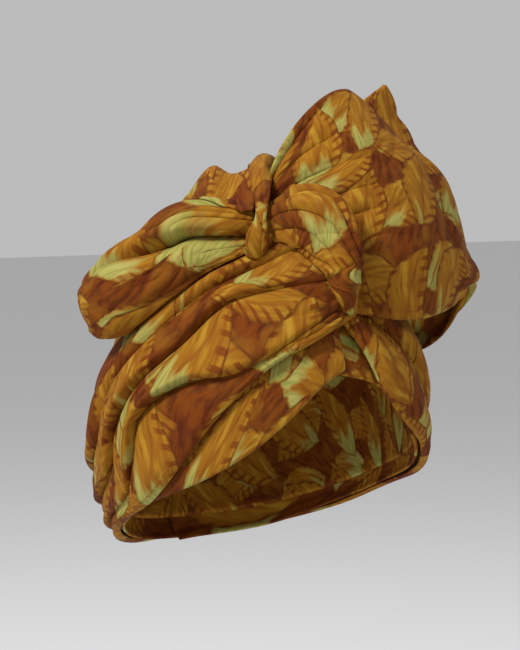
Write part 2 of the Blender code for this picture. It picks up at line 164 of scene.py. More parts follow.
# Lines of the outer layer on each side, from its edge up to where the knot hides it. Each runs from
# the front crossing, round the side, to the back, where the right side's end laps over the left's.
STATIONS = (0.00, 0.10, 0.20, 0.30, 0.40, 0.50, 0.60, 0.72, 0.86, 1.00)
OVER_RIGHT_LINES = {
    "edge": {
        "around": (4, -13, -28, -44, -58, -72, -86, -112, -146, -187),
        "up": (37, 30, 23, 9, -8, -21, -28, -36, -42, -41.3),
        "lift": (3, 0, 0, 0, 0, 0, 0, 0, 0, 1.2),
    },
    "shadow_fold": {
        "around": (0, -18, -38, -58, -78, -84, -90, -113, -146, -188),
        "up": (40, 32, 22, 19, 7, -10, -22, -31, -37, -39),
        "lift": (7, 1, 0, 0, 0, 0, 0, 0, 0, 1.2),
    },
    "middle_fold": {
        "around": (-8, -28, -46, -60, -80, -94, -99, -116, -147, -190),
        "up": (44, 45, 42, 31, 18, 2, -12, -23, -30, -32),
        "lift": (12, 3, 0, 0, 0, 0, 0, 0, 0, 1.2),
    },
    "upper_fold": {
        "around": (-18, -34, -52, -68, -88, -104, -111, -124, -149, -191),
        "up": (52, 52, 48, 40, 26, 10, -3, -14, -21, -23),
        "lift": (17, 4, 0, 0, 0, 0, 0, 0, 0, 1.2),
    },
    "top": {
        "around": (-29, -42, -57, -78, -98, -116, -126, -138, -156, -190),
        "up": (60, 63, 59, 50, 40, 27, 14, 4, -4, -7),
        "lift": (9, -1, -4, -4.4, -4.4, -4.4, -4.4, -4.4, -3.8, -1.6),
    },
}
OVER_RIGHT_FOLDS = (
    # where the crest lies, then the fold's height at each station
    (0.30, (2.0, 2.0, 2.0, 2.5, 3.5, 4.0, 3.5, 3.0, 3.0, 3.0)),
    (0.16, (3.0, 5.0, 8.0, 9.0, 7.5, 6.0, 4.5, 4.0, 4.0, 4.0)),
    (0.20, (3.0, 4.5, 6.0, 7.5, 7.5, 6.5, 5.0, 4.5, 4.5, 4.5)),
    (0.26, (5.0, 6.5, 6.5, 5.5, 5.5, 5.5, 5.5, 5.0, 4.5, 4.0)),
)
OVER_LEFT_LINES = {
    "edge": {
        "around": (-2, 6, 13, 24, 38, 56, 80, 112, 146, 179.75),
        "up": (38, 26, 13, 3, -5, -16, -25, -36, -42, -44),
        "lift": (0, 0, 0, 0, 0, 0, 0, 0, 0, 0),
    },
    "roll": {
        "around": (1, 14, 26, 40, 55, 72, 92, 118, 148, 179.75),
        "up": (43, 36, 27, 16, 5, -6, -15, -26, -33, -35),
        "lift": (0, 0, 0, 0, 0, 0, 0, 0, 0, 0),
    },
    "upper_fold": {
        "around": (6, 22, 38, 54, 70, 86, 104, 128, 152, 179.75),
        "up": (50, 48, 42, 33, 22, 10, -1, -12, -20, -23),
        "lift": (0, 0, 0, 0, 0, 0, 0, 0, 0, 0),
    },
    "top": {
        "around": (14, 32, 52, 70, 86, 102, 118, 138, 157, 179.75),
        "up": (58, 59, 56, 49, 39, 28, 16, 4, -4, -7),
        "lift": (0, 0, 0, 0, -2, -2.6, -2.6, -2.6, -2.6, -2.6),
    },
}
OVER_LEFT_FOLDS = (
    (0.35, (2.0, 3.5, 4.5, 5.0, 5.0, 5.0, 4.5, 4.0, 3.0, 0.3)),
    (0.22, (2.0, 3.5, 4.5, 5.0, 5.0, 5.0, 5.0, 4.5, 3.5, 0.3)),
    (0.25, (2.0, 3.0, 3.5, 3.5, 4.0, 4.0, 4.5, 4.5, 3.5, 0.3)),
)

# The drooping loop on the wearer's right: the middle of each section, half its height and half its
# depth, and how deep the crease between its two lobes is and where it lies, in degrees up the front
LOOP_SECTIONS = (
    # station, x, y, z, half height, half depth, crease, crease at
    (0.00, -32, -47, 103, 14, 11, 6.0, 0),
    (0.14, -43, -41, 103, 17, 13, 11.0, 2),
    (0.30, -57, -29, 100, 21, 15, 14.0, 15),
    (0.50, -69, -16, 87, 21, 16, 13.0, 45),
    (0.68, -79, -1, 76, 22, 17, 11.0, 65),
    (0.83, -85, 13, 66, 20, 15, 7.0, 72),
    (0.95, -88, 21, 60, 15.5, 9, 3.0, 75),
    (1.00, -89, 24, 58, 10, 4, 1.0, 75),
)

# The crease's width above it and below it, in radians, and how sharp it is
CREASE_STEEP = 0.09
CREASE_GENTLE = 0.32
CREASE_SHARPNESS = 1.3

# The loop's pleats, gathered at the knot, and its broader folds, which run on: their number round it,
# their depth as a share of its size, their sway, and the stations between which they fade. Then the
# stations between which its fine creases grow, and its size before all these, as a share.
LOOP_PLEATS = 17
LOOP_PLEAT_DEPTH = 0.20
LOOP_PLEAT_FADE = (0.02, 0.40)
LOOP_FOLDS = 7
LOOP_FOLD_DEPTH = 0.13
LOOP_FOLD_SWAY = 0.8
LOOP_FOLD_START = 0.3
LOOP_FOLD_FADE = (0.30, 0.95)
LOOP_CREASE_GROWTH = (0.1, 0.4)
LOOP_FULLNESS = 0.955
PLEAT_SWAY = 0.6
PLEAT_ROUNDNESS = 0.6
FOLD_ROUNDNESS = 0.5

# How far the lower corner of the loop's far end is pulled out, over which width in radians, and
# between which stations the pull grows
LOOP_CORNER = (-6.0, -2.0, 2.5)
CORNER_WIDTH = 0.6
CORNER_GROWTH = (0.65, 1.0)

# The layer behind the top of that loop: its upper edge, and how far it reaches before and behind
PEAK_SECTIONS = (
    # station, x, y, z, reach, fall
    (0.00, -15, -32, 141, 44, 50),
    (0.30, -28, -19, 133, 36, 44),
    (0.50, -34, -10, 137, 36, 46),
    (0.78, -44, -3, 123, 17, 41),
    (1.00, -50, 2, 114, 10, 32),
)
PEAK_REACH_WAY = (-0.55, -0.60, -0.55)
PEAK_FALL_WAY = (0.30, 0.75, -0.95)
PEAK_STATIONS = (0.0, 0.5, 1.0)

# The standing fan on the wearer's left, with a value for each section from the tip down to the hem
FAN_SECTIONS = {
    "station": (0.00, 0.20, 0.40, 0.60, 0.80, 1.00),
    "neck_x": (-22, -22, -22, -19, -11, 1),
    "neck_y": (-47, -49, -52, -51, -60, -76),
    "neck_z": (125, 122, 119, 102, 86, 66),
    "rim_x": (61, 74, 89, 96, 100, 95),
    "rim_y": (-28, -36, -45, -52, -59, -59),
    "rim_z": (181, 149, 127, 99, 78, 72),
    "swell": (5, 15, 23, 31, 29, 19),
    "arch": (27, 26, 18, 20, 13, -9),
    "arch_width": (0.69, 0.86, 1.00, 1.00, 0.90, 1.00),
    "arch_fullness": (0.36, 0.52, 0.75, 0.80, 0.80, 0.80),
    "rear_x": (27, 24, 28, 39, 42, 42),
    "rear_y": (2, 3, 5, 3, -4, -8),
    "rear_z": (148, 136, 118, 101, 92, 78),
    "rear_swell": (22, 30, 37, 43, 38, 15),
    "rear_arch": (2, 7, 2, -5, -22, -42),
}
REAR_FULLNESS = 0.8
FAN_FRONT_SHARE = 0.55

# The fan's pleats, which fade away from the knot, and the groove inside its rim. Places run from 0 at
# the knot to 1 at the rim, and on to 2 at the end of the rear face.
FAN_PLEATS = 7.0
FAN_PLEAT_DEPTH = 3.6
FAN_PLEAT_SWAY = 0.4
FAN_PLEAT_FADE = (0.02, 0.6)
PLEAT_MIDDLE = 0.6
RIM_FOLD_SHARE = 0.80
RIM_FOLD_WIDTH = 0.045
RIM_FOLD_DEPTH = 2.2

# The gathered bundle that crosses the front of the knot and tucks into the hollow under it
TWIST_SECTIONS = (
    # station, x, y, z, half height, half depth
    (0.00, -28, -56, 113, 6, 5),
    (0.16, -25, -67, 111, 15, 8),
    (0.36, -17, -77, 111, 18, 9),
    (0.58, -10, -85, 102, 16, 9),
    (0.78, -6, -91, 87, 10, 8),
    (0.92, -4, -92, 74, 5.5, 5),
    (1.00, 1, -86, 66, 4, 3),
)

# The crease along the bundle's front, with its place in degrees and its width in radians, and the
# pleats, with their turn in radians. Depths are shares of the bundle's size.
TWIST_CREASE = 22.0
TWIST_CREASE_WIDTH = 0.24
TWIST_CREASE_DEPTH = 0.60
TWIST_CREASE_END = 0.8
TWIST_PLEATS = 9
TWIST_PLEAT_DEPTH = 0.30
TWIST_TURN = 1.1

# The strap that holds the knot, from behind the outer layer over the front and the top of the knot
STRAP_SECTIONS = (
    # station, x, y, z, half width, how far its edges droop
    (0.00, -34, -46, 84, 2.0, 1.0),
    (0.12, -39, -61, 94, 5.0, 1.2),
    (0.20, -41, -66, 103, 6.0, 1.4),
    (0.30, -40, -67, 113, 2.8, 1.0),
    (0.40, -36, -62, 124, 3.8, 1.5),
    (0.53, -27, -46, 137, 5.8, 5.5),
    (0.66, -15, -29, 143, 8.5, 8.5),
    (0.80, -1, -10, 138, 10.5, 8.0),
    (0.92, 7, 6, 116, 11.0, 8.0),
    (1.00, 9, 14, 92, 10.0, 6.0),
)

# The share of the strap that rests on the fan too, and the height, as a share of its middle's, of the
# place that it faces away from
STRAP_CROSSING = 0.38
STRAP_MIDDLE_WEIGHT = 0.9

# Points along and across each piece
WRAP_GRID = (260, 34)
UNDER_GRID = (260, 30)
CROWN_GRID = (90, 300)
LOOP_GRID = (150, 170)
FAN_GRID = (150, 220)
PEAK_GRID = (90, 80)
TWIST_GRID = (120, 150)
STRAP_GRID = (160, 28)

# Each piece's cut: its length and width flat, and where on the print its corner lies and how it is turned
CUTS = {
    # piece: (length, width), (shift along, shift across), turn
    "crown": ((300.0, 320.0), (400.0, 90.0), 0.0),
    "under_wrap_left": ((305.0, 22.0), (30.0, 610.0), 8.0),
    "under_wrap_right": ((300.0, 24.0), (150.0, 700.0), -12.0),
    "over_wrap_left": ((330.0, 95.0), (110.0, 322.0), 24.0),
    "over_wrap_right": ((330.0, 105.0), (210.0, 20.0), -20.0),
    "right_loop": ((115.0, 125.0), (515.0, 440.0), -15.0),
    "right_peak": ((70.0, 75.0), (700.0, 210.0), 60.0),
    "left_fan": ((150.0, 240.0), (905.0, 545.0), 35.0),
    "knot_twist": ((80.0, 112.0), (615.0, 53.0), 70.0),
    "knot_strap": ((200.0, 18.0), (868.0, 53.0), 12.0),
}

# Random draws of each piece. Those of its parts follow on from its number.
SEEDS = {
    "crown": 5,
    "under_wrap_left": 61,
    "under_wrap_right": 62,
    "over_wrap_left": 71,
    "over_wrap_right": 81,
    "right_loop": 11,
    "left_fan": 21,
    "right_peak": 31,
    "knot_twist": 41,
    "knot_strap": 51,
}

# Sharp-bottomed creases of each piece: their depth, in millimetres or as a share of a tube's size, and
# how many ridges and swells there are to each unit: the whole way, a radian round a tube, or a degree
# from the knot's foot
CREASES = {
    # piece: rows of depth, ridges along, ridges across, swells along, swells across, shift per fold
    "crown": ((1.3, 15.0, 1 / 60, 0.0, 1 / 40, 0),),
    "over_wrap": ((1.9, 3.0, 2.4, 5.0, -1.0, 7), (0.8, -4.0, 5.0, 9.0, 0.0, 5)),
    "right_loop": ((0.09, 3.0, 1.6, 4.5, 0.0, 0),),
    "left_fan": ((2.2, 3.2, 0.8, 0.0, 2.2, 0), (0.8, 9.0, -2.5, 0.0, 3.5, 0)),
    "right_peak": ((1.2, 4.0, 0.6, 0.0, 2.0, 0),),
    "knot_twist": ((0.16, 0.0, 1.3, 2.5, 0.0, 0),),
    "knot_strap": ((0.9, 0.8, 1.8, 5.0, 0.0, 3),),
}

# Colours of the print, as linear light
DEEP_RUST = (0.074, 0.011, 0.001)
RUST = (0.148, 0.031, 0.001)
BROWN_OCHRE = (0.215, 0.074, 0.004)
OCHRE = (0.305, 0.134, 0.007)
GOLD = (0.380, 0.213, 0.020)
PALE_GREEN = (0.335, 0.300, 0.080)
LEAF_GREEN = (0.180, 0.200, 0.032)
OUTLINE = (0.060, 0.009, 0.001)


def through(rows, at):
    """A smooth curve through rows of (station, value, value, ...), read at the stations in at."""
    rows = np.asarray(rows, float)
    at = np.clip(np.asarray(at, float), rows[0, 0], rows[-1, 0])
    knots, values = rows[:, 0], rows[:, 1:]
    slope = np.gradient(values, knots, axis=0)
    i = np.clip(np.searchsorted(knots, at, side="right") - 1, 0, len(knots) - 2)
    span = (knots[i + 1] - knots[i])[..., None]
    t = (at - knots[i])[..., None] / span
    start = (2 * t**3 - 3 * t**2 + 1) * values[i] + (t**3 - 2 * t**2 + t) * span * slope[i]
    end = (3 * t**2 - 2 * t**3) * values[i + 1] + (t**3 - t**2) * span * slope[i + 1]
    return start + end


def sections(table, count):
    """That many stations down a column, and the table's values at each of them."""
    station = np.linspace(0, 1, count)
    return station[:, None], through(table, station)


def unit(v):
    return v / np.maximum(np.linalg.norm(v, axis=-1, keepdims=True), 1e-9)


def ease(x, low, high):
    """0 below low, 1 above high, and smooth between."""
    t = np.clip((x - low) / (high - low), 0, 1)
    return t * t * (3 - 2 * t)


def soft_noise(x, y, seed):
    """Smooth noise from -1 to 1, with one swell to each unit of x and y."""
    column, row = np.floor(x), np.floor(y)
    tx, ty = x - column, y - row
    tx, ty = tx * tx * (3 - 2 * tx), ty * ty * (3 - 2 * ty)

    def corner(i, j):
        wave = np.sin(i * 127.1 + j * 311.7 + seed * 74.7) * 43758.5453
        return 2 * (wave - np.floor(wave)) - 1

    low = corner(column, row) * (1 - tx) + corner(column + 1, row) * tx
    high = corner(column, row + 1) * (1 - tx) + corner(column + 1, row + 1) * tx
    return low * (1 - ty) + high * ty


def creases(name, along, across, seed, fold=0, middle=0.0):
    """The piece's creases added up: rounded ridges above sharp valleys, as pulled cloth has. Middle is
    the share of a ridge's height that counts as level."""
    relief = 0.0
    for number, row in enumerate(CREASES[name]):
        depth, ridges_along, ridges_across, swells_along, swells_across, shift = row
        ridge = along * ridges_along + across * ridges_across + fold * shift
        swell = along * swells_along + across * swells_across
        relief = relief + depth * (np.sqrt(np.abs(soft_noise(ridge, swell, seed + number))) - middle)
    return relief


def pleats(phase, roundness):
    """Rounded pleats from 0 to 1, one to each unit of the phase, with sharp valleys between."""
    return np.abs(np.cos(np.pi * phase)) ** roundness


def bell(x, middle, width):
    """1 at the middle, and fading to 0 on both sides of it."""
    return np.exp(-(((x - middle) / width) ** 2))


def head_radius(direction):
    """How far the head's surface is from the origin along unit directions."""
    x, y, z = np.moveaxis(direction, -1, 0)
    depth = np.where(y < 0, HEAD_FRONT, HEAD_BACK)
    height = np.where(z > 0, HEAD_TOP, HEAD_TAPER)
    level = np.abs(x / HEAD_HALF_WIDTH) ** HEAD_ROUNDNESS + np.abs(y / depth) ** HEAD_ROUNDNESS
    return (level + np.abs(z / height) ** HEAD_ROUNDNESS) ** (-1 / HEAD_ROUNDNESS)


def on_head(around, up, stand_off):
    """The point at that place on the head, stand_off outside its surface."""
    a, e = np.radians(around), np.radians(up)
    direction = np.stack([np.cos(e) * np.sin(a), -np.cos(e) * np.cos(a), np.sin(e)], -1)
    return direction * (head_radius(direction) + stand_off)[..., None]


def grid_normals(grid, closed_across=False):
    """Unit normals of a grid of points, rows along and columns across."""
    along = np.gradient(grid, axis=0)
    if closed_across:
        across = np.roll(grid, -1, 1) - np.roll(grid, 1, 1)
    else:
        across = np.gradient(grid, axis=1)
    return unit(np.cross(along, across))


def travelled(grid, axis):
    """How far along the axis each point of the grid lies from its first one, in millimetres."""
    steps = np.linalg.norm(np.diff(grid, axis=axis), axis=-1)
    start = np.zeros_like(np.take(steps, [0], axis))
    return np.concatenate([start, np.cumsum(steps, axis)], axis)


def free_edge_distance(grid, closed_across, capped):
    """How far each point is from the nearest free edge of the cloth."""
    along = travelled(grid, 0)
    distance = along if capped else np.minimum(along, along[-1:] - along)
    if not closed_across:
        across = travelled(grid, 1)
        distance = np.minimum(distance, np.minimum(across, across[:, -1:] - across))
    return distance


def cloth_coordinates(name, rows, columns, closed_across=False, widths=1.0):
    """Where each point lies on the flat print, in metres. A closed ring gets one more column, and
    widths is the share of the cut's width at each row, where it changes."""
    (length, width), (shift_along, shift_across), turn = CUTS[name]
    count = columns + 1 if closed_across else columns
    u, v = np.meshgrid(np.linspace(0, length, rows), np.linspace(0, width, count), indexing="ij")
    v = v * widths
    a = np.radians(turn)
    along = u * np.cos(a) - v * np.sin(a) + shift_along
    across = u * np.sin(a) + v * np.cos(a) + shift_across
    return np.stack([along, across], -1) * MM


def spread_coordinates(name, middle):
    """Where each point of a dome lies on the flat print, spread evenly round the dome's middle."""
    direction = unit(middle)
    centre = unit(np.array(DOME_MIDDLE))
    side = np.array([1.0, 0.0, 0.0])
    angle = np.arccos(np.clip(direction @ centre, -1, 1))
    heading = np.arctan2(direction @ np.cross(centre, side), direction @ side)
    place = np.stack([np.cos(heading), np.sin(heading)], -1) * (angle * DOME_RADIUS)[..., None]
    place = place + np.array(CUTS[name][1])
    return np.concatenate([place, place[:, :1]], 1) * MM


def wall_sides(middle, distance, closed_across, capped):
    """The points of a wall round a grid, their numbers among both sides' points, and which of them
    make its outer and its inner side. Both sides share the points of the free edges."""
    rows, columns = middle.shape[:2]
    rounding = np.sqrt(1 - (1 - np.clip(distance / (EDGE_ROUNDING * WALL), 0, 1)) ** 2)
    offset = grid_normals(middle, closed_across) * (0.5 * WALL * rounding)[..., None]
    outer = np.arange(rows * columns).reshape(rows, columns)
    inner = outer + rows * columns
    inner[0] = outer[0]
    if not capped:
        inner[-1] = outer[-1]
    if not closed_across:
        inner[:, 0], inner[:, -1] = outer[:, 0], outer[:, -1]
    points = np.concatenate([(middle + offset).reshape(-1, 3), (middle - offset).reshape(-1, 3)])
    used, number = np.unique(np.concatenate([outer, inner], None), return_inverse=True)
    outer, inner = number.reshape(2, rows, columns)
    return points[used], used, outer, inner


def wall_faces(outer, inner, place, closed_across, capped):
    """The faces of a wall's two sides, and the print's place at each of their corners."""
    columns = outer.shape[1]
    if closed_across:
        outer = np.column_stack([outer, outer[:, 0]])
        inner = np.column_stack([inner, inner[:, 0]])
    here, there = slice(None, -1), slice(1, None)
    order = ((here, here), (there, here), (there, there), (here, there))
    quads, corners = [], []
    for side, ways in ((outer, order), (inner, order[::-1])):
        quads.append(np.stack([side[way] for way in ways], -1).reshape(-1, 4))
        corners.append(np.stack([place[way] for way in ways], -2).reshape(-1, 2))
    faces = np.concatenate(quads).tolist()
    if capped:
        for side, step in ((outer, -1), (inner, 1)):
            faces.append(side[-1, :columns][::step].tolist())
            corners.append(place[-1, :columns][::step])
    return faces, np.concatenate(corners)


def build_cloth(
    name, middle, closed_across=False, capped=False, hemmed=False, place=None
):
    """A cloth wall round a grid of points, its free edges rounded over like a fold. Rows cross columns
    so that the outer side faces out. A capped wall is a bag, closed over its last row. The print's
    place at each point follows the cut, unless it is given."""
    if place is None:
        place = cloth_coordinates(name, *middle.shape[:2], closed_across)
    distance = free_edge_distance(middle, closed_across, capped)
    points, used, outer, inner = wall_sides(middle, distance, closed_across, capped)
    faces, corners = wall_faces(outer, inner, place, closed_across, capped)
    mesh = bpy.data.meshes.new(name)
    mesh.from_pydata((points * MM).tolist(), [], faces)
    layer = mesh.uv_layers.new(name="cloth")
    layer.uv.foreach_set("vector", corners.astype(np.float32).ravel())
    hem = np.concatenate([distance, distance], None)[used] * MM + (0.0 if hemmed else FAR_FROM_HEM)
    mesh.attributes.new("hem", "FLOAT", "POINT").data.foreach_set("value", hem.astype(np.float32))
    mesh.update()
    mesh.shade_smooth()
    mesh.materials.append(PRINTED_COTTON)
    piece = bpy.data.objects.new("cloth_" + name, mesh)
    bpy.context.collection.objects.link(piece)
    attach(piece, "root")
    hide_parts(name)
    return piece


def math_node(operation, reflected=False):
    """A method that adds a Math node for a value and another one. Reflected, the other comes first."""

    def method(self, other=0.0):
        first, second = (other, self) if reflected else (self, other)
        return self.node("ShaderNodeMath", {"operation": operation}, {0: first, 1: second})

    return method


class Value:
    """A socket of a material's tree. Arithmetic on values adds Math nodes."""

    __add__ = math_node("ADD")
    __radd__ = math_node("ADD", reflected=True)
    __sub__ = math_node("SUBTRACT")
    __rsub__ = math_node("SUBTRACT", reflected=True)
    __mul__ = math_node("MULTIPLY")
    __rmul__ = math_node("MULTIPLY", reflected=True)
    __truediv__ = math_node("DIVIDE")
    __abs__ = math_node("ABSOLUTE")
    floor = math_node("FLOOR")
    sine = math_node("SINE")
    cosine = math_node("COSINE")
    most = math_node("MAXIMUM")

    def __init__(self, tree, socket):
        self.tree = tree
        self.socket = socket

    def node(self, kind, settings, inputs, output=0):
        """Adds a node: first its settings, then its inputs by name or number. One output is read."""
        made = self.tree.nodes.new(kind)
        for name, value in settings.items():
            setattr(made, name, value)
        for name, value in inputs.items():
            if isinstance(value, Value):
                self.tree.links.new(value.socket, made.inputs[name])
            else:
                made.inputs[name].default_value = value
        return Value(self.tree, made.outputs[output])

    def step(self, low, high):
        """0 below low, 1 above high, and smooth between."""
        inputs = {"Value": self, "From Min": low, "From Max": high}
        return self.node("ShaderNodeMapRange", {"interpolation_type": "SMOOTHSTEP"}, inputs)

    def vector(self, y, z=0.0):
        return self.node("ShaderNodeCombineXYZ", {}, {"X": self, "Y": y, "Z": z})

    def part(self, number):
        return self.node("ShaderNodeSeparateXYZ", {}, {0: self}, number)

    def noise(self, detail=2.0, roughness=0.5):
        """Noise from 0 to 1 at this vector."""
        inputs = {"Vector": self, "Scale": 1.0, "Detail": detail, "Roughness": roughness}
        return self.node("ShaderNodeTexNoise", {"noise_dimensions": "3D"}, inputs)

    def scatter(self):
        """Three random numbers from 0 to 1 for this vector, as one vector."""
        return self.node("ShaderNodeTexWhiteNoise", {"noise_dimensions": "3D"}, {"Vector": self}, 1)

    def blend(self, first, second):
        """The first colour where this value is 0 and the second where it is 1."""
        inputs = {0: self, 6: colour_of(first), 7: colour_of(second)}
        return self.node("ShaderNodeMix", {"data_type": "RGBA"}, inputs, 2)


def colour_of(colour):
    return colour if isinstance(colour, Value) else (*colour, 1.0)


# The print's leaves, in metres of cloth. A row is shifted against the one below, and a leaf strays
# from its place, by shares of the spacing. The lean is the range of a leaf's own turn, in radians.
LEAF_SPACING = (0.070, 0.036)
LEAF_HALF_LENGTH = 0.0345
LEAF_HALF_WIDTH = 0.0150
LEAF_BEND = 0.005
LEAF_STAGGER = 0.43
LEAF_STRAY = (0.10, 0.12)
LEAF_LEAN = 0.6
STROKE_SLANT = 0.38
LEAF_LAYERS = (
    # seed, turn of the whole layer in degrees; the last one lies on top
    (41.0, -48.0),
    (3.0, 6.0),
)

# A leaf's brush strokes, dabs and blots: how many to a metre across it and along it
STROKES = (520.0, 60.0)
DABS = (210.0, 45.0)
BLOTS = (75.0, 55.0)

# In metres: how ragged a leaf's edge is, its outline, its vein, and the fingers that its edge is cut
# into, which reach further in on one side
RAGGED = 0.0070
RIM_WIDTH = 0.0026
VEIN_WIDTH = 0.0014
FINGER_SLANT = 0.9
FINGER_SPACING = 0.0075
FINGER_LENGTH = 0.0015
FINGER_MORE = 0.006
FINGER_UNEVEN = 0.004

# How far the whole print wanders, in metres, and how many swells there are to a metre
PRINT_WANDER = 0.018
WANDER_SWELLS = 14.0

# The stitched hem, the weave and the fine rumple, in metres, and the rumple's swells to a metre
HEM_WIDTH = 0.006
HEM_RISE = 0.0003
STITCH_LINE = 0.0048
STITCH_WIDTH = 0.0006
STITCH_LENGTH = 0.0034
STITCH_DENT = 0.0004
THREAD_SPACING = 0.0007
THREAD_HEIGHT = 0.00003
RUMPLE_HEIGHT = 0.0008
RUMPLE_SWELLS = 150.0

# How rough the cloth is, how much the rumple changes that, and how much it mirrors
ROUGHNESS = 0.70
ROUGHNESS_CHANGE = 0.22
SPECULAR = 0.12


def swells(u, v, along, across, shift=0.0, detail=2.0):
    """Noise from 0 to 1 with that many swells to a unit of u and of v."""
    return (u * along).vector(v * across, shift).noise(detail)


def leaf_place(u, v, seed, turn):
    """Where a point lies along and across its nearest leaf, and that leaf's three random numbers."""
    a = np.radians(turn)
    x = (u * np.cos(a) + v * np.sin(a)) / LEAF_SPACING[0]
    y = (v * np.cos(a) - u * np.sin(a)) / LEAF_SPACING[1]
    row = y.floor()
    x = x + row * LEAF_STAGGER
    column = x.floor()
    random = (column + seed).vector(row, seed).scatter()
    first, second, third = random.part(0), random.part(1), random.part(2)
    lean = (first - 0.5) * LEAF_LEAN
    px = (x - column - 0.5 + (second - 0.5) * LEAF_STRAY[0]) * LEAF_SPACING[0]
    py = (y - row - 0.5 + (third - 0.5) * LEAF_STRAY[1]) * LEAF_SPACING[1]
    along = px * lean.cosine() + py * lean.sine()
    across = py * lean.cosine() - px * lean.sine()
    return along, across, first, second, third


def leaf_layer(u, v, seed, turn):
    """One layer of scattered feathery leaves: where they are, from 0 to 1, and their colour."""
    along, across, first, second, third = leaf_place(u, v, seed, turn)
    share = along / LEAF_HALF_LENGTH
    across = across + (share * share - 0.4) * LEAF_BEND * (2.0 * second - 1.0)
    beside = across - along * STROKE_SLANT * (share * 0.4 + 0.8)
    stroke = swells(beside, along, *STROKES, seed)
    dab = swells(beside, along, *DABS, seed + 5.0)
    blot = swells(across, along, *BLOTS, seed + 9.0, detail=1.0)
    body = (1.0 - share * share).most(0.0)
    half = body * (LEAF_HALF_WIDTH * (1.0 + 0.3 * share))
    depth = half - abs(across) + (blot - 0.5) * RAGGED * body
    inside = depth.step(0.0, 0.0010)
    rim = 1.0 - depth.step(0.0003, RIM_WIDTH)
    vein = 1.0 - (abs(across - along * 0.05) + (dab - 0.5) * 0.0015).step(0.0002, VEIN_WIDTH)
    pale = share * (0.8 + 0.5 * second) + (dab - 0.5) * 1.5 + (third - 0.85) * 1.1
    pale = pale.step(0.05, 0.50) * (depth + (stroke - 0.5) * 0.004).step(0.0008, 0.0040)
    colour = stroke.step(0.34, 0.64).blend(BROWN_OCHRE, OCHRE)
    colour = (dab.step(0.50, 0.66) * (0.25 + first * 0.65)).blend(colour, GOLD)
    colour = ((1.0 - dab.step(0.36, 0.52)) * (0.95 - second * 0.6)).blend(colour, BROWN_OCHRE)
    colour = (vein * 0.45).blend(colour, RUST)
    colour = (pale * 0.92).blend(colour, PALE_GREEN)
    colour = (stroke.step(0.46, 0.60) * pale * 0.75).blend(colour, LEAF_GREEN)
    colour = (leaf_fingers(along, across, depth, blot) * (1.0 - pale) * 0.9).blend(colour, RUST)
    colour = (rim * (0.75 - pale * 0.45)).blend(colour, OUTLINE)
    return inside, colour


def leaf_fingers(along, across, depth, blot):
    """The gaps between the fingers of a leaf's edge, from 0 to 1. Depth is the distance inside it."""
    line = along + across * FINGER_SLANT
    reach = across.step(-0.001, 0.001) * FINGER_MORE + FINGER_LENGTH + blot * FINGER_UNEVEN
    gap = (line * (2 * np.pi / FINGER_SPACING) + blot * 6.0).sine().step(-0.05, 0.65)
    return gap * (1.0 - (depth / reach).step(0.5, 1.0))


def print_colour(u, v):
    """Where a point lies on the print once it has wandered, and its colour there: layers of leaves on
    rust ground, a little worn."""
    wander = swells(u, v, WANDER_SWELLS, WANDER_SWELLS, detail=1.0)
    sway = swells(u, v, WANDER_SWELLS, WANDER_SWELLS, 7.0, detail=1.0)
    u = u + (wander - 0.5) * PRINT_WANDER
    v = v + (sway - 0.5) * PRINT_WANDER
    wash = swells(u, v, 90.0, 300.0, 2.0, detail=3.0)
    patch = swells(u, v, 45.0, 70.0, 12.0)
    colour = wash.step(0.34, 0.62).blend(DEEP_RUST, RUST)
    colour = (patch.step(0.54, 0.66) * 0.6).blend(colour, BROWN_OCHRE)
    for seed, turn in LEAF_LAYERS:
        inside, leaf = leaf_layer(u, v, seed, turn)
        colour = inside.blend(colour, leaf)
    worn = swells(u, v, 30.0, 30.0, 9.0, detail=3.0).step(0.35, 0.75)
    return u, v, (worn * 0.08).blend(colour, GOLD)


def make_printed_cotton():
    """Matt cotton with a wax print of leaves in ochre and pale green on rust."""
    material = bpy.data.materials.new("printed_cotton")
    material.use_nodes = True
    tree = material.node_tree
    shader = tree.nodes["Principled BSDF"]
    place = tree.nodes.new("ShaderNodeUVMap")
    place.uv_map = "cloth"
    place = Value(tree, place.outputs[0])
    u, v, colour = print_colour(place.part(0), place.part(1))
    hem = u.node("ShaderNodeAttribute", {"attribute_name": "hem"}, {}, 2)
    turned = 1.0 - (hem / HEM_WIDTH).step(0.92, 1.0)
    row = 1.0 - (abs(hem - STITCH_LINE) / STITCH_WIDTH).step(0.6, 1.0)
    stitches = row * ((u + v) * (2 * np.pi / STITCH_LENGTH)).sine().step(-0.3, 0.2)
    tree.links.new((stitches * 0.35).blend(colour, RUST).socket, shader.inputs["Base Color"])
    thread = 2 * np.pi / THREAD_SPACING
    weave = (u * thread).sine() * (v * thread).sine()
    rumple = (u * RUMPLE_SWELLS).vector(v * RUMPLE_SWELLS, 4.0).noise(4.0, 0.6)
    height = weave * THREAD_HEIGHT + rumple * RUMPLE_HEIGHT + turned * HEM_RISE - row * STITCH_DENT
    bump = {"Strength": 0.6, "Distance": 1.0, "Height": height}
    normal = height.node("ShaderNodeBump", {}, bump)
    tree.links.new(normal.socket, shader.inputs["Normal"])
    rough = ROUGHNESS + rumple * ROUGHNESS_CHANGE
    tree.links.new(rough.socket, shader.inputs["Roughness"])
    shader.inputs["Specular IOR Level"].default_value = SPECULAR
    return material


PRINTED_COTTON = make_printed_cotton()


def mirrored(line):
    return tuple((station, -around, up) for station, around, up in line)


def lapped(line):
    """The left side's line, carried on past the middle at the front and at the back. Near the nape it
    runs a little lower, level with the layer that lies over it."""
    first, before_last, last = line[0], line[-2], line[-1]
    first = (first[0], first[1] - BROW_LAP, first[2])
    before_last = (before_last[0], before_last[1], before_last[2] - 0.5 * NAPE_DROP)
    last = (last[0], last[1] + NAPE_LAP, last[2] - NAPE_DROP)
    return (first, *line[1:-2], before_last, last)


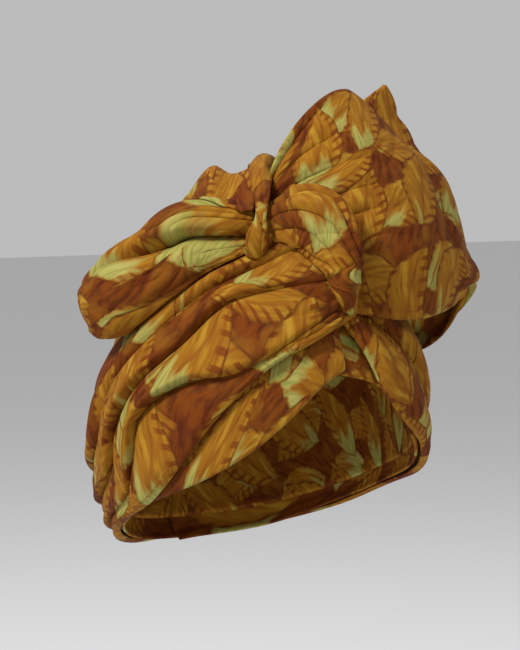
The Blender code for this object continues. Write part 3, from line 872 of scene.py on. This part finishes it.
def fold_profile(share, crest):
    """The height of a fold across its width, from 0 up to 1 at the crest and down a flatter face to 0."""
    rising = np.clip(share / crest, 0, 1)
    falling = np.clip((1 - share) / (1 - crest), 0, 1)
    return np.sin(0.5 * np.pi * rising) * falling**FACE_FLATNESS


def dragged(points, seed):
    """Folds that run out from the crossing in front and die away with the distance from it."""
    centre = np.array(CROSSING)
    axis = unit(centre)
    first = unit(np.cross(axis, UPWARDS))
    second = np.cross(axis, first)
    offset = points - centre
    turn = np.arctan2(offset @ second, offset @ first)
    far = np.linalg.norm(offset, axis=-1)
    folds = np.sqrt(np.abs(soft_noise(turn * DRAG_FOLDS / np.pi, far / DRAG_SWELL_LENGTH, seed)))
    return DRAG_DEPTH * folds * bell(far, 0.0, DRAG_REACH)


def wound_fold(lower, upper, crest, tall, number, seed, last):
    """One fold of the outer layer, between two of its lines: around, up and the height above the
    layer's rest of each point. The last fold has its upper line's points too."""
    stations = np.linspace(0, 1, WRAP_GRID[0])
    height = through(np.column_stack([STATIONS, tall]), stations)[:, 0]
    wander = soft_noise(stations * HEIGHT_SWELLS, number + 0.5, seed + 3)
    height = height * (LEAST_HEIGHT + HEIGHT_WANDER * wander)
    crest_here = crest * (1 + CREST_WANDER * soft_noise(stations * CREST_SWELLS, number, seed + 4))
    columns = []
    for share in np.linspace(0, 1, WRAP_GRID[1])[: None if last else -1] ** COLUMN_CROWDING:
        profile = fold_profile(share, crest_here)
        low = share - OVERHANG * profile * (1 - share)
        around, up, lift = (lower + (upper - lower) * low[:, None]).T
        face = np.clip(share / crest, 0, 1) * np.clip((1 - share) * FACE_FADE, 0, 1)
        relief = creases("over_wrap", stations, share, seed, fold=number)
        columns.append(np.stack([around, up, lift + height * profile + relief * face], -1))
    return np.stack(columns, 1)


def wound_layer(lines, folds, rest, seed, turned=False):
    """A layer of cloth wound on the head, with a rounded fold between each line and the next."""
    stations = np.linspace(0, 1, WRAP_GRID[0])
    paths = [
        through(np.column_stack([STATIONS, line["around"], line["up"], line["lift"]]), stations)
        for line in lines.values()
    ]
    parts = []
    for number, (crest, tall) in enumerate(folds):
        last = number == len(folds) - 1
        parts.append(wound_fold(paths[number], paths[number + 1], crest, tall, number, seed, last))
    around, up, height = np.moveaxis(np.concatenate(parts, 1), -1, 0)
    middle = on_head(around, up, height + rest)
    middle = on_head(around, up, height + rest + dragged(middle, seed + 2))
    return middle[:, ::-1] if turned else middle


def under_layer(brow, depths, rest, seed, crown, turned=False):
    """The first layer, a strip along the brow edge. Its lower edge is turned in as a soft rounded fold."""
    stations = np.linspace(0, 1, UNDER_GRID[0])
    edge = through(brow, stations)
    shares = np.linspace(0, 1, UNDER_GRID[1])
    around = edge[:, None, 0] + 0 * shares
    up = edge[:, None, 1] + through(depths, stations) * shares
    wave = soft_noise(stations[:, None] * UNDER_WAVES[0], shares * UNDER_WAVES[1], seed)
    wave = wave * ease(shares, 0, UNDER_WAVE_GROWTH)
    swell = np.sin(np.pi * np.minimum(shares * 2, 1))
    height = rest + UNDER_SWELL * swell + UNDER_WAVE * wave
    middle = resting(on_head(around, up, height), [crown], CLEAR)
    return middle[:, ::-1] if turned else middle


def crown_middle(seed):
    """The shell over the top and back of the head, open below, gathered towards the knot."""
    rows, columns = CROWN_GRID
    turn = np.linspace(0, 1, columns, endpoint=False)
    brow = np.concatenate([mirrored(BROW_LINE)[::-1], BROW_LINE[1:]])[:, 1:]
    brow = through(np.column_stack([np.linspace(0, 1, len(brow)), brow]), turn)
    lower = unit(on_head(brow[:, 0], brow[:, 1] + CROWN_EDGE, 0.0))
    middle = unit(np.array(KNOT_FOOT))
    share = np.linspace(1, CROWN_LAST_SHARE, rows)[:, None]
    angle = np.arccos(lower @ middle)
    blend = np.sin((1 - share) * angle)[..., None] * middle + np.sin(share * angle)[..., None] * lower
    direction = unit(blend)
    reach = share * np.degrees(angle)
    sway = soft_noise(reach / GATHER_SWAY_LENGTH, turn * CROWN_GATHERS, seed)
    gather = pleats(turn * CROWN_GATHERS + GATHER_SWAY * sway, GATHER_ROUNDNESS) - GATHER_MIDDLE
    fade = np.sin(np.pi * np.clip(reach / GATHER_REACH, 0, 1)) ** GATHER_FADE
    pull = creases("crown", turn, reach, seed + 3) * ease(reach, CROWN_CREASES_FROM, CROWN_CREASES_FULL)
    height = CROWN_REST + GATHER_DEPTH * gather * fade + pull
    return direction * (head_radius(direction) + height)[..., None]


def tree_of(piece):
    """The piece's surface in millimetres, for finding what lies on it."""
    points = [v.co / MM for v in piece.data.vertices]
    return BVHTree.FromPolygons(points, [tuple(p.vertices) for p in piece.data.polygons])


def resting(points, trees, gap):
    """The points, those inside or too near the pieces moved straight out from the head to clear them."""
    flat = points.reshape(-1, 3).copy()
    for number, point in enumerate(flat):
        far = np.linalg.norm(point)
        direction = Vector(point / far)
        for tree in trees:
            hit = tree.ray_cast(direction * REACH, -direction, REACH)[0]
            if hit is not None and hit.length + gap > far:
                far = hit.length + gap
        flat[number] = np.array(direction) * far
    return flat.reshape(points.shape)


def tube_sections(axis, tall, deep):
    """The points round each section of a tube, tall above its middle and deep to its outer side."""
    along = unit(np.gradient(axis, axis=0))
    rise = unit(UPWARDS - along * along[:, 2:])
    side = unit(np.cross(rise, along))
    return axis[:, None] + side[:, None] * deep[..., None] + rise[:, None] * tall[..., None]


def loop_size(station, turn, seed):
    """The size of each section of the loop round its way, as a share of the table's."""
    sway = soft_noise(station * 4, turn * 2, seed)
    pleat = pleats(turn * LOOP_PLEATS / (2 * np.pi) + PLEAT_SWAY * sway, PLEAT_ROUNDNESS)
    fold = turn * LOOP_FOLDS / (2 * np.pi) + LOOP_FOLD_SWAY * sway + LOOP_FOLD_START
    fold = pleats(fold, FOLD_ROUNDNESS)
    pleated = LOOP_PLEAT_DEPTH * (1 - pleat) * (1 - ease(station, *LOOP_PLEAT_FADE))
    folded = LOOP_FOLD_DEPTH * (1 - fold) * (1 - ease(station, *LOOP_FOLD_FADE))
    loose = creases("right_loop", station, turn, seed + 2) * ease(station, *LOOP_CREASE_GROWTH)
    return LOOP_FULLNESS - pleated - folded + loose


def loop_middle(under, seed):
    """A bag of cloth, open at the knot and closed at its far end, creased along its outer side."""
    station, rows = sections(LOOP_SECTIONS, LOOP_GRID[0])
    height, depth, crease, crease_at = rows[:, 3:4], rows[:, 4:5], rows[:, 5:6], np.radians(rows[:, 6:7])
    turn = np.linspace(2 * np.pi, 0, LOOP_GRID[1], endpoint=False)
    from_crease = (turn - crease_at + np.pi) % (2 * np.pi) - np.pi
    width = np.where(from_crease > 0, CREASE_STEEP, CREASE_GENTLE)
    inwards = crease * np.exp(-np.abs(from_crease / width) ** CREASE_SHARPNESS)
    size = loop_size(station, turn, seed)
    tall = height * np.sin(turn) * size - inwards * np.sin(crease_at)
    deep = depth * np.cos(turn) * size - inwards * np.cos(crease_at)
    middle = tube_sections(rows[:, :3], tall, deep)
    corner = bell(turn, 1.5 * np.pi, CORNER_WIDTH) * ease(station, *CORNER_GROWTH)
    middle = middle + corner[..., None] * np.array(LOOP_CORNER)
    return resting(middle, under, LOOP_CLEAR)


def humped(start, end, swell, arch, width, fullness, share):
    """Curves from start to end at the shares of their way, swollen sideways and arched upwards."""
    chord = end - start
    sideways = unit(np.cross(chord, UPWARDS))
    hump = np.sin(np.pi * share**0.8) ** 0.8
    rise = np.sin(np.pi * np.clip(share / width, 0, 1) ** 0.9) ** fullness
    curve = start[:, None] + chord[:, None] * share[..., None]
    curve = curve + sideways[:, None] * (swell * hump)[..., None]
    return curve + UPWARDS * (arch * rise)[..., None]


def fan_middle(under, seed):
    """Front face, outer rim and rear face in one sheet, open above, below and towards the knot."""
    along, across = FAN_GRID
    station, table = sections(np.array(list(FAN_SECTIONS.values())).T, along)
    neck, rim, rear = table[:, 0:3], table[:, 3:6], table[:, 10:13]
    swell, arch, width, fullness = table[:, 6:7], table[:, 7:8], table[:, 8:9], table[:, 9:10]
    rear_swell, rear_arch = table[:, 13:14], table[:, 14:15]
    front_count = round(across * FAN_FRONT_SHARE)
    share = np.linspace(0, 1, front_count) + 0 * width
    back_share = np.linspace(0, 1, across - front_count + 1)[1:] + 0 * width
    front = humped(neck, rim, swell, arch, width, fullness, share)
    back = humped(rear, rim, -rear_swell, rear_arch, 1, REAR_FULLNESS, 1 - back_share)
    middle = np.concatenate([front, back], 1)
    relief = fan_relief(station, np.concatenate([share, 2 - back_share], 1), seed)
    middle = middle + grid_normals(middle) * relief[..., None]
    return resting(middle, under, CLEAR)


def fan_relief(station, from_neck, seed):
    """How far the fan's pleats, creases and rim groove lift each of its points."""
    sway = soft_noise(from_neck * 3, station * 4, seed)
    pleat = pleats(station * FAN_PLEATS + FAN_PLEAT_SWAY * sway, PLEAT_ROUNDNESS) - PLEAT_MIDDLE
    gathered = 1 - ease(np.minimum(from_neck, 2 - from_neck), *FAN_PLEAT_FADE)
    groove = bell(from_neck, RIM_FOLD_SHARE, RIM_FOLD_WIDTH) * np.sin(np.pi * station) ** 0.5
    pulled = creases("left_fan", station, from_neck, seed + 2, middle=PLEAT_MIDDLE)
    return FAN_PLEAT_DEPTH * pleat * gathered + pulled - RIM_FOLD_DEPTH * groove


def peak_middle(under, seed):
    """A layer arched over its upper edge, from the crown behind to the top of the loop in front."""
    along, across = PEAK_GRID
    station, rows = sections(PEAK_SECTIONS, along)
    edge = rows[:, :3]
    front = edge + rows[:, 3:4] * np.array(PEAK_REACH_WAY)
    rear = edge + rows[:, 4:5] * np.array(PEAK_FALL_WAY)
    arches = np.stack([rear, edge, front], 1)
    share = np.linspace(0, 1, across)
    grid = np.stack([through(np.column_stack([PEAK_STATIONS, arch]), share) for arch in arches])
    relief = creases("right_peak", station, share, seed, middle=0.5)
    grid = grid + grid_normals(grid) * relief[..., None]
    return resting(grid, under, CLEAR)


def twist_middle(under, seed):
    """A bundle of pleats, narrow at both ends."""
    station, rows = sections(TWIST_SECTIONS, TWIST_GRID[0])
    turn = np.linspace(2 * np.pi, 0, TWIST_GRID[1], endpoint=False)
    wound = turn + TWIST_TURN * station
    sway = soft_noise(station * 5, turn * 2, seed)
    pleat = pleats(wound * TWIST_PLEATS / (2 * np.pi) + PLEAT_SWAY * sway, PLEAT_ROUNDNESS)
    broad = creases("knot_twist", station, wound, seed + 1, middle=PLEAT_MIDDLE)
    groove = bell(turn, np.radians(TWIST_CREASE), TWIST_CREASE_WIDTH)
    groove = groove * np.sin(np.pi * np.clip(station / TWIST_CREASE_END, 0, 1)) ** 0.5
    size = 1 - TWIST_PLEAT_DEPTH * (1 - pleat) + broad - TWIST_CREASE_DEPTH * groove
    tall = rows[:, 3:4] * np.sin(turn) * size
    deep = rows[:, 4:5] * np.cos(turn) * size
    return resting(tube_sections(rows[:, :3], tall, deep), under, CLEAR)


def strap_middle(under, fan, seed):
    """A narrow pleated strip over the front and the top of the knot."""
    along, across = STRAP_GRID
    station, rows = sections(STRAP_SECTIONS, along)
    line = rows[:, :3]
    direction = unit(np.gradient(line, axis=0))
    outward = unit(line - line.mean(axis=0) * np.array([1.0, 1.0, STRAP_MIDDLE_WEIGHT]))
    sideways = unit(np.cross(outward, direction))
    outward = np.cross(direction, sideways)
    share = np.linspace(-1, 1, across)
    lift = creases("knot_strap", station, share, seed, fold=1) - rows[:, 4:5] * share**2
    middle = line[:, None] + sideways[:, None] * (rows[:, 3:4] * share)[..., None]
    middle = middle + outward[:, None] * lift[..., None]
    middle = resting(middle, under, CLEAR)
    crossing = round(along * STRAP_CROSSING)
    middle[:crossing] = resting(middle[:crossing], [fan], CLEAR)
    return middle


def build_under_wrap(name, brow, depths, rest, crown, turned=False):
    """One side of the first layer. Its cut is as wide as the layer is deep."""
    deep = through(depths, np.linspace(0, 1, UNDER_GRID[0]))
    place = cloth_coordinates(name, *UNDER_GRID, widths=deep / deep.mean())
    middle = under_layer(brow, depths, rest, SEEDS[name], crown, turned)
    build_cloth(name, middle, place=place)


def build_over_wraps():
    """The outer layer's two sides, the right one's end lapped over the left one's at the nape."""
    left_seed, right_seed = SEEDS["over_wrap_left"], SEEDS["over_wrap_right"]
    left = wound_layer(OVER_LEFT_LINES, OVER_LEFT_FOLDS, OVER_LEFT_REST, left_seed)
    left = tree_of(build_cloth("over_wrap_left", left, hemmed=True))
    right = wound_layer(OVER_RIGHT_LINES, OVER_RIGHT_FOLDS, OVER_RIGHT_REST, right_seed, turned=True)
    lap = round(WRAP_GRID[0] * LAP_SHARE)
    right[lap:] = resting(right[lap:], [left], CLEAR)
    right = tree_of(build_cloth("over_wrap_right", right, hemmed=True))
    return right, left


def build_pieces():
    """Every piece, each resting on those before it that it touches."""
    crown = crown_middle(SEEDS["crown"])
    place = spread_coordinates("crown", crown)
    crown = build_cloth("crown", crown, closed_across=True, capped=True, place=place)
    crown = tree_of(crown)
    left_brow = lapped(mirrored(BROW_LINE))
    build_under_wrap("under_wrap_left", left_brow, UNDER_LEFT_DEPTHS, UNDER_LEFT_REST, crown)
    build_under_wrap(
        "under_wrap_right", BROW_LINE, UNDER_RIGHT_DEPTHS, UNDER_RIGHT_REST, crown, turned=True
    )
    wraps = [crown, *build_over_wraps()]
    loop = loop_middle(wraps, SEEDS["right_loop"])
    loop = tree_of(build_cloth("right_loop", loop, closed_across=True, capped=True))
    fan = fan_middle(wraps, SEEDS["left_fan"])
    fan = tree_of(build_cloth("left_fan", fan, hemmed=True))
    peak = peak_middle([*wraps, loop], SEEDS["right_peak"])
    peak = tree_of(build_cloth("right_peak", peak))
    twist = twist_middle([*wraps, fan], SEEDS["knot_twist"])
    twist = tree_of(build_cloth("knot_twist", twist, closed_across=True))
    strap = strap_middle([*wraps, loop, peak, twist], fan, SEEDS["knot_strap"])
    build_cloth("knot_strap", strap)


# The photograph's camera, with a longer lens so that the object fills the frame, and the studio. The
# lens and the sensor are in millimetres, places and sizes in metres, and powers in watts.
CAMERA_AZIMUTH = -31.0
CAMERA_ELEVATION = 5.0
CAMERA_DISTANCE = 1.3
CAMERA_LENS = 134.0
SENSOR_HEIGHT = 36.0
CAMERA_TARGET = (0.0, 0.0, 0.052)
FLOOR_LEVEL = -0.30
FLOOR_REACH = 6.0
FLOOR_COLOUR = (0.74, 0.74, 0.75)
FLOOR_ROUGHNESS = 0.9
WORLD_COLOUR = (1.0, 1.0, 1.0)
WORLD_STRENGTH = 0.50
LAMP_DISTANCE = 1.4
LAMPS = (
    # name, azimuth, elevation, size, power
    ("key", -72.0, 42.0, 0.35, 20.0),
    ("fill", 50.0, 40.0, 0.8, 4.0),
    ("rim", 150.0, 50.0, 0.6, 4.0),
)


def aimed(obj, azimuth, elevation, distance):
    """Places the object at that distance from the camera's target, and turns it to look at it."""
    a, e = np.radians(azimuth), np.radians(elevation)
    back = Vector((np.sin(a) * np.cos(e), -np.cos(a) * np.cos(e), np.sin(e)))
    obj.location = Vector(CAMERA_TARGET) + back * distance
    obj.rotation_euler = back.to_track_quat("Z", "Y").to_euler()
    bpy.context.collection.objects.link(obj)


def build_camera():
    data = bpy.data.cameras.new("camera")
    data.lens = CAMERA_LENS
    data.sensor_fit = "VERTICAL"
    data.sensor_height = SENSOR_HEIGHT
    camera = bpy.data.objects.new("camera", data)
    aimed(camera, CAMERA_AZIMUTH, CAMERA_ELEVATION, CAMERA_DISTANCE)
    bpy.context.scene.camera = camera


def build_lamp(name, azimuth, elevation, size, power):
    data = bpy.data.lights.new(name, "AREA")
    data.shape = "DISK"
    data.size = size
    data.energy = power
    aimed(bpy.data.objects.new(name, data), azimuth, elevation, LAMP_DISTANCE)


def build_floor():
    mesh = bpy.data.meshes.new("floor")
    corners = [(-1, -1), (1, -1), (1, 1), (-1, 1)]
    corners = [(x * FLOOR_REACH, y * FLOOR_REACH, FLOOR_LEVEL) for x, y in corners]
    mesh.from_pydata(corners, [], [(0, 1, 2, 3)])
    floor = bpy.data.objects.new("floor", mesh)
    material = bpy.data.materials.new("pale_floor")
    material.use_nodes = True
    shader = material.node_tree.nodes["Principled BSDF"]
    shader.inputs["Base Color"].default_value = (*FLOOR_COLOUR, 1.0)
    shader.inputs["Roughness"].default_value = FLOOR_ROUGHNESS
    mesh.materials.append(material)
    bpy.context.collection.objects.link(floor)


def build_world():
    world = bpy.context.scene.world or bpy.data.worlds.new("studio")
    bpy.context.scene.world = world
    world.use_nodes = True
    background = world.node_tree.nodes["Background"]
    background.inputs["Color"].default_value = (*WORLD_COLOUR, 1.0)
    background.inputs["Strength"].default_value = WORLD_STRENGTH


build_pieces()
build_camera()
build_floor()
build_world()
for lamp in LAMPS:
    build_lamp(*lamp)
bpy.context.scene.view_settings.view_transform = "Standard"
